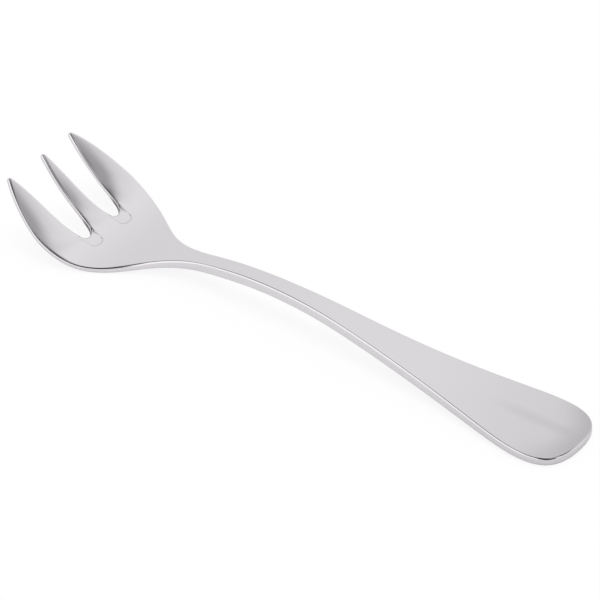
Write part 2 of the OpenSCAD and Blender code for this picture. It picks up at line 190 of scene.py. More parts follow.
@dataclass(frozen=True)
class Blank:
    """The outline of the flat blank, one half of it, in millimetres.

    A pull says how far a curve's pulling point lies from the end of the curve, and tells
    how full the curve is there.
    """

    length: float = 149.5
    head_at: float = 16.0
    neck_at: float = 52.0
    flare_at: float = 62.0
    end_at: float = 137.5
    head_width: float = 31.0
    neck_width: float = 4.4
    end_width: float = 19.4
    end_lean: float = 5.0
    front_pull: tuple[float, float] = (3.2, 12.9)
    head_pull: float = 4.5
    shoulder_pull: float = 16.0
    neck_pull: float = 19.0
    flare_pull: float = 46.0
    end_pull: float = 10.0
    cap_pull: float = 7.0
    cap_pull_out: float = 9.0
    slot_depth: float = 21.15
    slot_out: float = 4.9
    slot_pull_at: float = 11.1
    slot_pull_half: float = 2.0
    root_pull_half: float = 3.25
    tip_radius: float = 0.65
    tip_out: float = 10.35
    middle_setback: float = 1.1
    root_share: float = 0.7

    @cached_property
    def outer_tip(self) -> RoundTip:
        """The tip of the outer tine."""
        return RoundTip(Vector((self.tip_radius, self.tip_out)), self.tip_radius)

    @cached_property
    def middle_tip(self) -> RoundTip:
        """The tip of the middle tine."""
        return RoundTip(Vector((self.middle_setback + self.tip_radius, 0.0)), self.tip_radius)

    @cached_property
    def front(self) -> PulledCurve:
        """The outer edge from the tip to the widest place of the head."""
        pull = Vector(self.front_pull)
        half = self.head_width / 2
        return PulledCurve(self.outer_tip.touch(pull, 1), pull,
                           Vector((self.head_at - self.head_pull, half)),
                           Vector((self.head_at, half)))

    @cached_property
    def shoulder(self) -> PulledCurve:
        """The outer edge from the widest place to the neck."""
        head, neck = self.head_width / 2, self.neck_width / 2
        return PulledCurve(Vector((self.head_at, head)),
                           Vector((self.head_at + self.shoulder_pull, head)),
                           Vector((self.neck_at - self.neck_pull, neck)),
                           Vector((self.neck_at, neck)))

    @cached_property
    def flare(self) -> PulledCurve:
        """The outer edge of the widening handle."""
        neck = self.neck_width / 2
        end = Vector((self.end_at, self.end_width / 2))
        return PulledCurve(Vector((self.flare_at, neck)),
                           Vector((self.flare_at + self.flare_pull, neck)),
                           end - turned(self.end_lean, self.end_pull), end)

    @cached_property
    def cap(self) -> PulledCurve:
        """The rounded end of the handle, from its side to its very end."""
        end = Vector((self.end_at, self.end_width / 2))
        return PulledCurve(end, end + turned(self.end_lean, self.cap_pull),
                           Vector((self.length, self.cap_pull_out)), Vector((self.length, 0.0)))

    @cached_property
    def inner(self) -> PulledCurve:
        """The side of the slot along the outer tine, to the middle of the slot bottom."""
        pull = Vector((self.slot_pull_at, self.slot_out + self.slot_pull_half))
        return PulledCurve(self.outer_tip.touch(pull, -1), pull,
                           Vector((self.slot_depth, self.slot_out + self.root_pull_half)),
                           Vector((self.slot_depth, self.slot_out)), -1)

    @cached_property
    def middle(self) -> PulledCurve:
        """The side of the slot along the middle tine, to the middle of the slot bottom."""
        pull = Vector((self.slot_pull_at, self.slot_out - self.slot_pull_half))
        return PulledCurve(self.middle_tip.touch(pull, 1), pull,
                           Vector((self.slot_depth, self.slot_out - self.root_pull_half)),
                           Vector((self.slot_depth, self.slot_out)))

    @cached_property
    def root_from(self) -> float:
        """Where the round slot bottom begins."""
        return self.inner.place(self.root_share).x

    @property
    def slot_limit(self) -> float:
        """A distance out that lies between the slot and the outer edge of the head."""
        return 2 * self.slot_out

    def outer_edge(self, along: float) -> EdgePoint:
        """The outer edge between the tip and the rounded end of the handle.

        Args:
            along: the distance along the blank.

        Returns:
            The point of the edge there.
        """
        if along < self.head_at:
            return self.front.crossing(along)
        if along < self.neck_at:
            return self.shoulder.crossing(along)
        if along < self.flare_at:
            return EdgePoint(Vector((along, self.neck_width / 2)), Vector((0.0, 1.0)))
        return self.flare.crossing(along)


@dataclass(frozen=True)
class SmoothRun:
    """A value that runs smoothly through stations along the blank, with no overshoot."""

    stations: tuple[tuple[float, float], ...]

    def _rise(self, index: int) -> float:
        """Steepness from a station to the next."""
        (start, low), (end, high) = self.stations[index:index + 2]
        return (high - low) / (end - start)

    def _lean(self, index: int) -> float:
        """Steepness of the smooth run at a station: level where the stations turn back.

        Args:
            index: number of the station.

        Returns:
            Change of the value for each millimetre.
        """
        if index == 0:
            return self._rise(0)
        if index == len(self.stations) - 1:
            return self._rise(index - 1)
        before, after = self._rise(index - 1), self._rise(index)
        return 0.0 if before * after <= 0 else 2 / (1 / before + 1 / after)

    def at(self, along: float) -> float:
        """The value at a place.

        Args:
            along: the distance along the blank.

        Returns:
            The value there, which stays level past the first and the last station.
        """
        last = len(self.stations) - 2
        index = next((k for k in range(last) if along < self.stations[k + 1][0]), last)
        (start, low), (end, high) = self.stations[index:index + 2]
        width = end - start
        share = min(max((along - start) / width, 0.0), 1.0)
        rest = 1 - share
        return (low * (1 + 2 * share) * rest**2 + self._lean(index) * width * share * rest**2
                + high * share**2 * (3 - 2 * share) + self._lean(index + 1) * width * share**2 * -rest)


@dataclass(frozen=True)
class SideView:
    """The bends of the fork and the thickness of its steel, in millimetres and degrees."""

    length: float
    slopes: SmoothRun = SmoothRun(
        ((0, -35), (5, -38), (17, -30), (37.5, 16), (74, 0), (94, -7), (149.5, -2)))
    thicknesses: SmoothRun = SmoothRun(
        ((0, 1.2), (14, 1.2), (30, 1.4), (60, 2.5), (100, 2.5), (149.5, 2.0)))
    steps: int = 1500

    @cached_property
    def spine(self) -> list[Vector]:
        """Places of the upper face in the side view, one for each step along the blank."""
        step = self.length / self.steps
        places = [Vector((0.0, 0.0))]
        for index in range(self.steps):
            places.append(places[-1] + turned(self.slopes.at((index + 0.5) * step), step))
        return places

    def bent(self, along: float, height: float) -> Vector:
        """The place of a point after bending.

        Args:
            along: the point's distance along the flat blank.
            height: its height over the upper face.

        Returns:
            The place in the side view.
        """
        exact = min(max(along / self.length, 0.0), 1.0) * self.steps
        index = min(int(exact), self.steps - 1)
        foot = self.spine[index].lerp(self.spine[index + 1], exact - index)
        slope = math.radians(self.slopes.at(along))
        return foot + Vector((-math.sin(slope), math.cos(slope))) * height


@dataclass(frozen=True)
class Rim:
    """The rounded rim round the whole blank and its slightly bulging wall, in millimetres."""

    width: float = 0.5
    tip_width: float = 0.62
    tip_reach: float = 9.0
    bulge_share: float = 0.1
    upper_share: float = 0.34
    tip_upper_share: float = 0.5
    lower_share: float = 0.2
    steps: int = 5

    @property
    def stations(self) -> list[tuple[float, float, float]]:
        """Steps round the rim, from the upper face to the lower one.

        Returns:
            For each step the share of the rim's width, the share of a rounding that is
            passed, and the share of the lower side.
        """
        reach = 1 - self.bulge_share
        quarter = [(reach * math.sin(turn), 1 - math.cos(turn))
                   for turn in (math.radians(90 * step / self.steps) for step in range(self.steps + 1))]
        return ([(*point, 0.0) for point in quarter[1:]] + [(1.0, 1.0, 0.5)]
                + [(*point, 1.0) for point in quarter[::-1]])

    def width_at(self, along: float) -> float:
        """The width, which is larger near the tips."""
        return self.tip_width + (self.width - self.tip_width) * ease(along / self.tip_reach)

    def heights(self, along: float, thickness: float) -> tuple[float, float]:
        """How high the roundings are.

        Args:
            along: the distance along the blank.
            thickness: thickness of the steel there.

        Returns:
            Heights of the upper and the lower rounding.
        """
        fall = self.upper_share - self.tip_upper_share
        upper = self.tip_upper_share + fall * ease(along / self.tip_reach)
        return upper * thickness, self.lower_share * thickness


@dataclass(frozen=True)
class Faces:
    """How the upper face is domed on the tines and on the handle, in millimetres.

    The domes are radii. The crest of an outer tine lies a little outside its middle.
    """

    tine_dome: float = 25.0
    crest_out: float = 0.5
    dome_from: float = 12.0
    dome_to: float = 21.0
    handle_dome: float = 250.0

    def tine_drop(self, along: float, off: float) -> float:
        """Drop of a tine's face at a distance off its crest."""
        fade = 1 - ease((along - self.dome_from) / (self.dome_to - self.dome_from))
        return fade * off * off / (2 * self.tine_dome)


@dataclass(frozen=True)
class CoinedFlats:
    """The small flats that are pressed into the face behind the slots, in millimetres.

    A flat is as deep as its step at the far end, and gets deeper towards the slot.
    """

    length: float = 3.0
    out: float = 5.0
    half: float = 2.0
    corner: float = 0.7
    depth: float = 0.25
    step: float = 0.1
    wall: float = 0.05


class Crease(Enum):
    """The sharp lines round a coined flat, and the number that marks each on the mesh."""

    NONE = 0
    BORDER = 1
    FOOT = 2


@dataclass(frozen=True)
class FacePoint:
    """A point of the upper face: its place on the blank, its drop and, on the rim, its edge."""

    place: Vector
    drop: float = 0.0
    edge: EdgePoint | None = None
    crease: Crease = Crease.NONE


def shown(name: str, bm: bmesh.types.BMesh) -> bpy.types.Object:
    """Puts a finished mesh in the scene.

    Args:
        name: name of the object and of its mesh.
        bm: the mesh, which is freed.

    Returns:
        The object, at the origin.
    """
    mesh = bpy.data.meshes.new(name)
    bm.to_mesh(mesh)
    bm.free()
    made = bpy.data.objects.new(name, mesh)
    bpy.context.scene.collection.objects.link(made)
    return made


def spanned(first: Callable[[float], Vector], last: Callable[[float], Vector],
            left: Callable[[float], Vector], right: Callable[[float], Vector],
            across: float, along: float) -> Vector:
    """A point of the smooth patch between four curves.

    Args:
        first: the curve at the start, from left to right.
        last: the curve at the end, from left to right.
        left: the curve on the left, from first to last.
        right: the curve on the right, from first to last.
        across: share of the way from left to right.
        along: share of the way from first to last.

    Returns:
        The point of the patch.
    """
    rows = first(across).lerp(last(across), along)
    sides = left(along).lerp(right(along), across)
    corners = first(0).lerp(first(1), across).lerp(last(0).lerp(last(1), across), along)
    return rows + sides - corners


@dataclass
class OysterFork:
    """The whole fork: one piece of sheet steel.

    The blank is laid out as grids of points on its upper face: one for each tine, one for
    the head and the handle and one for the rounded end. They lie inside the rim, and run
    in rows from the tips to the handle and in columns from the middle line outwards.
    """

    blank: Blank = field(default_factory=Blank)
    rim: Rim = field(default_factory=Rim)
    faces: Faces = field(default_factory=Faces)
    flats: CoinedFlats = field(default_factory=CoinedFlats)
    middle_lift: float = 1.3
    tine_rows: int = 24
    tip_crowding: float = 1.3
    outer_cols: int = 8
    slot_cols: int = 16
    middle_cols: int = 3
    border_col: int = 2
    corner_share: float = 0.5
    straight_share: float = 0.5
    flat_rows: int = 7
    relax_rows: int = 6
    narrow_rows: int = 10
    handle_rows: int = 56
    cap_rows: int = 6
    cap_share: float = 0.5
    # painted shade on the border lines of the coined flats, standing in for the dark reflection in their
    # small walls
    painted_line_shade: float = 0.75
    # painted shade on the slot walls near their bottoms, standing in for the dark reflections there
    painted_wall_shade: float = 0.9
    shade_from: float = 15.5
    shade_rise: float = 3.0
    shade_passed: float = 0.5

    @cached_property
    def side_view(self) -> SideView:
        """The bends and the thickness."""
        return SideView(self.blank.length)

    @property
    def columns(self) -> int:
        """Columns of the head and the handle, from the middle line to the edge."""
        return self.middle_cols + self.slot_cols + self.outer_cols

    @cached_property
    def middle_root(self) -> float:
        """Where the round slot bottom begins on the middle tine."""
        return self.blank.middle.place(self.blank.root_share).x

    def _inside(self, edge: EdgePoint) -> Vector:
        """The place of an edge point, moved in by the width of the rim."""
        return edge.inset(self.rim.width_at(edge.place.x))

    def _tine_share(self, row: int) -> float:
        """How far down a tine a row lies, from 0 to 1. The rows crowd at the tip."""
        return (row / self.tine_rows) ** self.tip_crowding

    def _between(self, first: EdgePoint, last: EdgePoint, share: float) -> FacePoint:
        """A point across an outer tine.

        Args:
            first: the edge at the slot.
            last: the outer edge.
            share: how far across the point lies, from 0 to 1.

        Returns:
            The point of the face.
        """
        low, high = self._inside(first), self._inside(last)
        place = low.lerp(high, share)
        off = (high - low).length * (share - 0.5) - self.faces.crest_out
        edge = first if share == 0 else last if share == 1 else None
        return FacePoint(place, self.faces.tine_drop(place.x, off), edge)

    def _tip_row(self, tip: RoundTip, first: Vector, last: Vector, share: float) -> FacePoint:
        """A point of the round row at the tip of a tine.

        Args:
            tip: the tip.
            first: where the row starts on its circle.
            last: where the row ends on its circle.
            share: how far along the row the point lies, from 0 to 1.

        Returns:
            The point of the face.
        """
        edge = tip.edge(first, last, share)
        place = self._inside(edge)
        crest = self.faces.crest_out if tip.middle.y else 0.0
        drop = self.faces.tine_drop(place.x, place.y - tip.middle.y - crest)
        return FacePoint(place, drop, edge)

    def outer_tine_point(self, row: int, column: int) -> FacePoint:
        """A point of the grid on the outer tine.

        Args:
            row: 0 at the tip.
            column: 0 at the slot.

        Returns:
            The point of the face.
        """
        blank, share = self.blank, column / self.outer_cols
        if row == 0:
            return self._tip_row(blank.outer_tip, blank.inner.start, blank.front.start, share)
        first = blank.outer_tip.middle.x
        along = first + (blank.root_from - first) * self._tine_share(row)
        return self._between(blank.inner.crossing(along), blank.outer_edge(along), share)

    def middle_tine_point(self, row: int, column: int) -> FacePoint:
        """A point of the grid on half of the middle tine.

        Args:
            row: 0 at the tip.
            column: 0 on the middle line.

        Returns:
            The point of the face.
        """
        blank, share = self.blank, column / self.middle_cols
        tip = blank.middle_tip
        if row == 0:
            front = tip.middle - Vector((tip.radius, 0.0))
            return self._tip_row(tip, front, blank.middle.start, share)
        along = tip.middle.x + (self.middle_root - tip.middle.x) * self._tine_share(row)
        edge = blank.middle.crossing(along)
        place = self._inside(edge)
        off = place.y * share
        return FacePoint(Vector((place.x, off)), self.faces.tine_drop(place.x, off),
                         edge if share == 1 else None)

    @cached_property
    def slot_bottom(self) -> list[EdgePoint]:
        """The points of the slot bottom, from the middle tine to the outer one.

        Two columns on each side are kept for the flat behind the slot: one meets the slot
        at the top of the flat's wall, the next at its foot.
        """
        blank, flats = self.blank, self.flats
        half, points = self.slot_cols // 2, []
        for curve, side in ((blank.middle, -1), (blank.inner, 1)):
            def passes(reach: float) -> Callable[[float], bool]:
                """Says whether the slot's side is within a distance of the flat's middle."""
                return lambda share: (self._inside(curve.edge(share)).y - flats.out) * side <= reach

            top = curve.share_where(passes(flats.half), blank.root_share)
            foot = curve.share_where(passes(flats.half - flats.wall), blank.root_share)
            shares = [blank.root_share, (blank.root_share + top) / 2, top]
            steps = half - len(shares)
            shares += [foot + (1 - foot) * step / steps for step in range(steps + 1)]
            points.append([curve.edge(share) for share in shares])
        return points[0] + points[1][-2::-1]

    def _flat_border(self, side: int) -> PulledCurve:
        """Half of the border of the flat.

        Args:
            side: -1 for the half nearer to the middle line, 1 for the other.

        Returns:
            The curve from the slot to the middle of the flat's far end.
        """
        flats = self.flats
        column = self.border_col if side < 0 else self.slot_cols - self.border_col
        end = self.blank.slot_depth + flats.length
        return PulledCurve(self._inside(self.slot_bottom[column]),
                           Vector((end - flats.corner / 2, flats.out + side * flats.half)),
                           Vector((end, flats.out + side * (flats.half - flats.corner / 2))),
                           Vector((end, flats.out)), side)

    def _flat_place(self, row: int, column: int) -> Vector:
        """A place on the flat, its wall or its border.

        Args:
            row: 0 at the slot, flat_rows at the far border.
            column: column of the slot, at least border_col from both its sides.

        Returns:
            The place on the blank.
        """
        corner, rest = self.corner_share, 1 - self.corner_share
        half_cols, last = self.slot_cols // 2, self.slot_cols - self.border_col
        side = -1 if column <= half_cols else 1
        near = column - self.border_col if side < 0 else last - column
        if near == 0:
            return self._flat_border(side).place(corner * row / self.flat_rows)
        if row == self.flat_rows:
            return self._flat_border(side).place(corner + rest * near / (half_cols - self.border_col))
        first = self.border_col + 1
        columns = last - 1 - first

        def foot(half: int, share: float) -> Vector:
            """A place at the foot of the wall, on one half of the flat."""
            return self._flat_border(half).edge(share).inset(self.flats.wall)

        def far(share: float) -> Vector:
            """A place at the foot of the far wall, from one side to the other."""
            return foot(-1 if share <= 0.5 else 1, corner + rest * (1 - abs(2 * share - 1)))

        return spanned(lambda share: self._inside(self.slot_bottom[first + round(share * columns)]), far,
                       lambda share: foot(-1, corner * share), lambda share: foot(1, corner * share),
                       (column - first) / columns, row / (self.flat_rows - 1))

    @cached_property
    def row_places(self) -> list[float]:
        """How far along each row of the head and handle meets the outer edge."""
        blank, length = self.blank, self.flats.length
        flat_end = blank.slot_depth + length
        narrowed = (blank.root_from + blank.neck_at) / 2 + length
        marks = [(blank.root_from, 0), (flat_end, self.flat_rows), (flat_end + length, self.relax_rows),
                 (narrowed, self.narrow_rows), (blank.end_at, self.handle_rows)]
        places = [blank.root_from]
        for (start, _), (end, rows) in zip(marks, marks[1:]):
            places += [start + (end - start) * row / rows for row in range(1, rows + 1)]
        return places

    @property
    def handle_from(self) -> float:
        """How far along the handle's own rows begin."""
        return self.row_places[-1 - self.handle_rows]

    @cached_property
    def border_row(self) -> list[Vector]:
        """The places of the row that runs along the far ends of the flats."""
        return [self.head_point(self.flat_rows, column).place for column in range(self.columns + 1)]

    def _limit(self, row: int) -> Vector:
        """Where a row of the head and handle meets the rim of the outer edge."""
        return self._inside(self.blank.outer_edge(self.row_places[row]))

    def _head_drop(self, row: int, column: int, place: Vector) -> float:
        """Drop of the face behind the slots, by the domes of the tines, the flats and the handle.

        Args:
            row: row of the head and handle.
            column: column of the head and handle.
            place: place of the point on the blank.

        Returns:
            The drop.
        """
        slot, last = column - self.middle_cols, self.slot_cols
        near = self._inside(self.slot_bottom[0]).y
        far = (self._limit(0) - self._inside(self.slot_bottom[last])).length / 2
        crest = self.faces.crest_out
        if slot <= 0:
            off = near * column / self.middle_cols
        elif slot <= last:
            off = near + (far + crest - near) * slot / last
        else:
            off = far * (2 * (slot - last) / self.outer_cols - 1) - crest
        drop = self.faces.tine_drop(place.x, off)
        on_flat = row < self.flat_rows and self.border_col < slot < last - self.border_col
        if on_flat:
            share = 1 - row / (self.flat_rows - 1)
            drop += self.flats.step + (self.flats.depth - self.flats.step) * share
        rise = ease((place.x - self.handle_from) / (self.blank.flare_at - self.handle_from))
        return drop + rise * place.y**2 / (2 * self.faces.handle_dome)

    def _crease(self, row: int, slot: int) -> Crease:
        """Which sharp line of the flat a point lies on.

        Args:
            row: row of the head and handle.
            slot: column of the slot.

        Returns:
            The line.
        """
        near = min(slot - self.border_col, self.slot_cols - self.border_col - slot, self.flat_rows - row)
        return {0: Crease.BORDER, 1: Crease.FOOT}.get(near, Crease.NONE)

    def _behind_flats(self, row: int, column: int) -> Vector:
        """A place behind the flats, where the rows straighten and the columns even out.

        Args:
            row: row of the head and handle.
            column: column of the head and handle.

        Returns:
            The place on the blank.
        """
        limit, start, corner = self._limit(row), self.border_row[column], self.border_row[-1]
        first = self.row_places[self.flat_rows]
        share = (self.row_places[row] - first) / (self.handle_from - first)
        across = start.y / corner.y
        across += (column / self.columns - across) * ease(share)
        back = (start.x - corner.x) * (1 - ease(share / self.straight_share))
        return Vector((limit.x + back, limit.y * across))

    def _beside_slot(self, row: int, column: int) -> Vector:
        """A place between the slot and the middle line or the outer edge.

        Args:
            row: row of the head and handle.
            column: column of the head and handle.

        Returns:
            The place on the blank.
        """
        limit, past = self._limit(row), column - self.middle_cols - self.slot_cols
        back = limit.x - self._limit(0).x
        root = self._inside(self.slot_bottom[0 if past < 0 else -1])
        if past < 0:
            return Vector((root.x + back, root.y * column / self.middle_cols))
        return Vector((root.x + back, root.y)).lerp(limit, past / self.outer_cols)

    def head_point(self, row: int, column: int) -> FacePoint:
        """A point of the grid on the head and the handle.

        Args:
            row: 0 at the slot bottoms.
            column: 0 on the middle line.

        Returns:
            The point of the face.
        """
        slot = column - self.middle_cols
        first, last = self.border_col, self.slot_cols - self.border_col
        edge = self.blank.outer_edge(self.row_places[row]) if column == self.columns else None
        if row > self.flat_rows:
            place = self._behind_flats(row, column)
        elif row == 0 and 0 <= slot <= self.slot_cols:
            edge = self.slot_bottom[slot]
            place = self._inside(edge)
        elif slot <= 0 or slot >= self.slot_cols:
            place = self._beside_slot(row, column)
        elif first <= slot <= last:
            place = self._flat_place(row, slot)
        else:
            side, border = (0, first) if slot < first else (self.slot_cols, last)
            beside = self._beside_slot(row, self.middle_cols + side)
            place = beside.lerp(self._flat_place(row, border), (slot - side) / (border - side))
        return FacePoint(place, self._head_drop(row, column, place), edge, self._crease(row, slot))

    def cap_point(self, row: int, column: int) -> FacePoint:
        """A point of the grid on the rounded end, whose rows bend to the end's outline.

        Args:
            row: 0 at the last row of the handle.
            column: 0 on the middle line.

        Returns:
            The point of the face.
        """
        cap, last = self.blank.cap, len(self.row_places) - 1
        start = [self.head_point(last, index).place for index in (0, self.columns)]

        def end(share: float) -> EdgePoint:
            """A point of the very end, from the middle line outwards."""
            return cap.edge(1 - (1 - self.cap_share) * share)

        def side(share: float) -> EdgePoint:
            """A point of the side, from the handle on."""
            return cap.edge(self.cap_share * share)

        across, along = column / self.columns, row / self.cap_rows
        middle = Vector((self._inside(end(0)).x, 0.0))
        place = spanned(lambda share: start[0].lerp(start[1], share),
                        lambda share: self._inside(end(share)),
                        lambda share: start[0].lerp(middle, share),
                        lambda share: self._inside(side(share)), across, along)
        edge = end(across) if row == self.cap_rows else side(along) if column == self.columns else None
        return FacePoint(place, place.y**2 / (2 * self.faces.handle_dome), edge)

    def _lay(self, bm: bmesh.types.BMesh, columns: int, rows: int,
             point_at: Callable[[int, int], FacePoint]) -> None:
        """Lays a grid of faces on the blank. The operator's own grid runs from -1 to 1.

        Args:
            bm: the mesh that is being made.
            columns: faces across the grid.
            rows: faces along the grid.
            point_at: gives the point at a row and a column.
        """
        outward, crease = bm.verts.layers.float_vector["outward"], bm.verts.layers.int["crease"]
        shade = bm.verts.layers.float["shade"]
        for vert in bmesh.ops.create_grid(bm, x_segments=columns, y_segments=rows, size=1.0)["verts"]:
            column, row = round((vert.co.x + 1) / 2 * columns), round((vert.co.y + 1) / 2 * rows)
            point = point_at(row, column)
            vert.co = (point.place.x, point.place.y, -point.drop)
            vert[crease] = point.crease.value
            # painted shade: the border line of a flat is darkened for its dark reflection
            vert[shade] = self.painted_line_shade if point.crease is Crease.BORDER else 0.0
            if point.edge:
                vert[outward] = (point.edge.outward * self.rim.width_at(point.edge.place.x)).to_3d()

    def _painted_slot_shade(self, along: float, out: float) -> float:
        """How much shade is painted on a wall, standing in for the dark reflections deep in a slot:
        darker towards the bottom of the slot.

        Args:
            along: the distance along the blank.
            out: the distance from its middle line.

        Returns:
            The shade, which is 0 outside the slots.
        """
        if along >= self.blank.slot_depth + self.rim.width or out >= self.blank.slot_limit:
            return 0.0
        return self.painted_wall_shade * ease((along - self.shade_from) / self.shade_rise)

    def _round_rim(self, bm: bmesh.types.BMesh, chain: list[bmesh.types.BMEdge]) -> None:
        """Draws the edge of the upper face round the rim, in small steps, to the lower face.

        Args:
            bm: the mesh that is being made.
            chain: the edges along the border of the upper face.
        """
        outward, foot = (bm.verts.layers.float_vector[name] for name in ("outward", "foot"))
        shade = bm.verts.layers.float["shade"]
        for reach, passed, lower in self.rim.stations:
            made = bmesh.ops.extrude_edge_only(bm, edges=chain)["geom"]
            verts = {item for item in made if isinstance(item, bmesh.types.BMVert)}
            chain = [item for item in made
                     if isinstance(item, bmesh.types.BMEdge) and verts.issuperset(item.verts)]
            steep = passed > self.shade_passed or lower > 0
            for vert in verts:
                along, _, face = vert[foot]
                thickness = self.side_view.thicknesses.at(along)
                high, low = self.rim.heights(along, thickness + face)
                vert.co = vert[foot] + vert[outward] * reach
                vert.co.z = (face - high * passed) * (1 - lower) + (low * passed - thickness) * lower
                # painted shade on the steep rim inside the slots, for their dark reflections
                vert[shade] = self._painted_slot_shade(along, vert.co.y) if steep else 0.0

    def _solid_half(self, bm: bmesh.types.BMesh) -> None:
        """Makes the half of the flat blank on one side of its middle line, in millimetres.

        Args:
            bm: the mesh that is being made.
        """
        outward, foot = (bm.verts.layers.float_vector.new(name) for name in ("outward", "foot"))
        crease, kept = bm.verts.layers.int.new("crease"), bm.edges.layers.float.new("crease_edge")
        shade = bm.verts.layers.float.new("shade")
        self._lay(bm, self.outer_cols, self.tine_rows, self.outer_tine_point)
        self._lay(bm, self.middle_cols, self.tine_rows, self.middle_tine_point)
        self._lay(bm, self.columns, len(self.row_places) - 1, self.head_point)
        self._lay(bm, self.columns, self.cap_rows, self.cap_point)
        bmesh.ops.remove_doubles(bm, verts=bm.verts, dist=MERGE)
        for vert in bm.verts:
            vert[foot] = vert.co
        chain = [edge for edge in bm.edges
                 if edge.is_boundary and all(vert[outward].length > MERGE for vert in edge.verts)]
        for edge in bm.edges:
            first, last = (vert[crease] for vert in edge.verts)
            if first and first == last:
                edge[kept] = 1.0
                edge.smooth = False
        lower = bmesh.ops.duplicate(bm, geom=[*bm.verts, *bm.edges, *bm.faces])["geom"]
        for item in lower:
            if isinstance(item, bmesh.types.BMVert):
                item.co.z = -self.side_view.thicknesses.at(item.co.x)
                item[shade] = 0.0
            elif isinstance(item, bmesh.types.BMEdge):
                item[kept] = 0.0
                item.smooth = True
        self._round_rim(bm, chain)
        bmesh.ops.remove_doubles(bm, verts=bm.verts, dist=MERGE)

    def _bend(self, bm: bmesh.types.BMesh) -> None:
        """Bends the flat fork to its side view and lifts its middle tine.

        Args:
            bm: the mesh that is being made.
        """
        blank = self.blank
        for vert in bm.verts:
            along, out, height = vert.co
            lift = 0.0
            if abs(out) < blank.slot_out and along < self.middle_root:
                share = (self.middle_root - along) / (self.middle_root - blank.middle_setback)
                lift = self.middle_lift * share**2
            place = self.side_view.bent(along, height)
            vert.co = (place.x, out, place.y + lift)

    def _lay_down(self, bm: bmesh.types.BMesh) -> None:
        """Lets belly and handle end touch the table, centres the fork and scales it to metres.

        Args:
            bm: the mesh that is being made.
        """
        limit = self.side_view.bent(self.blank.neck_at, 0.0).x
        belly = min((vert.co for vert in bm.verts if vert.co.x < limit), key=lambda place: place.z)
        heel = min((vert.co for vert in bm.verts if vert.co.x > limit), key=lambda place: place.z)
        tilt = math.atan2(heel.z - belly.z, heel.x - belly.x)
        bmesh.ops.rotate(bm, verts=bm.verts, cent=(0, 0, 0), matrix=Matrix.Rotation(tilt, 3, "Y"))
        low = [min(vert.co[axis] for vert in bm.verts) for axis in range(3)]
        high = [max(vert.co[axis] for vert in bm.verts) for axis in range(3)]
        shift = Vector(((low[0] + high[0]) / -2, 0.0, -low[2]))
        bmesh.ops.translate(bm, verts=bm.verts, vec=shift)
        bmesh.ops.scale(bm, verts=bm.verts, vec=(MM, MM, MM))

    def dress(self, piece: bpy.types.Object, finish: PolishedSteel) -> None:
        """Gives the fork its finish."""
        piece.data.materials.append(finish.material())

    def build(self) -> bpy.types.Object:
        """Makes the fork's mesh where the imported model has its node.

        Returns:
            The fork as one object at the origin.
        """
        bm = bmesh.new()
        self._solid_half(bm)
        bmesh.ops.mirror(bm, geom=[*bm.verts, *bm.edges, *bm.faces], matrix=Matrix.Identity(4),
                         merge_dist=MERGE, axis="Y")
        self._bend(bm)
        self._lay_down(bm)
        bmesh.ops.recalc_face_normals(bm, faces=bm.faces)
        for face in bm.faces:
            face.smooth = True
        piece = shown("oyster_fork", bm)
        smooth = piece.modifiers.new("smooth", "SUBSURF")
        smooth.levels = smooth.render_levels = 1
        return piece


class Ray(Enum):
    """The kinds of ray that a shader can tell apart."""

    CAMERA = "Is Camera Ray"
    GLOSSY = "Is Glossy Ray"
    TRANSMISSION = "Is Transmission Ray"


@dataclass(frozen=True)
class Signal:
    """An output socket of a shader node, with which sums are written as expressions."""

    tree: bpy.types.NodeTree
    socket: bpy.types.NodeSocket

    def _math(self, operation: str, *values: Any) -> Signal:
        """Adds a Math node on numbers or signals."""
        inputs = dict(enumerate(values))
        return Shading(self.tree).node("ShaderNodeMath", {"operation": operation}, inputs)

    def __add__(self, other: Any) -> Signal:
        """Sum."""
        return self._math("ADD", self, other)

    def __sub__(self, other: Any) -> Signal:
        """Difference."""
        return self._math("SUBTRACT", self, other)

    def __rsub__(self, other: Any) -> Signal:
        """Difference from a number."""
        return self._math("SUBTRACT", other, self)

    def __mul__(self, other: Any) -> Signal:
        """Product."""
        return self._math("MULTIPLY", self, other)

    def maximum(self, other: Any) -> Signal:
        """The larger of two values."""
        return self._math("MAXIMUM", self, other)

    def size(self) -> Signal:
        """The value without its sign."""
        return self._math("ABSOLUTE", self)

    def power(self, exponent: float) -> Signal:
        """The value raised to a power."""
        return self._math("POWER", self, exponent)

    def arc(self) -> Signal:
        """The angle, in radians, that has the value as its cosine."""
        return self._math("ARCCOSINE", self)

    def smooth(self, low: float, high: float) -> Signal:
        """Runs smoothly from 0 to 1 while the value goes from low to high."""
        return Shading(self.tree).node("ShaderNodeMapRange", {"interpolation_type": "SMOOTHSTEP"},
                                       {"Value": self, "From Min": low, "From Max": high})

    __radd__ = __add__
    __rmul__ = __mul__


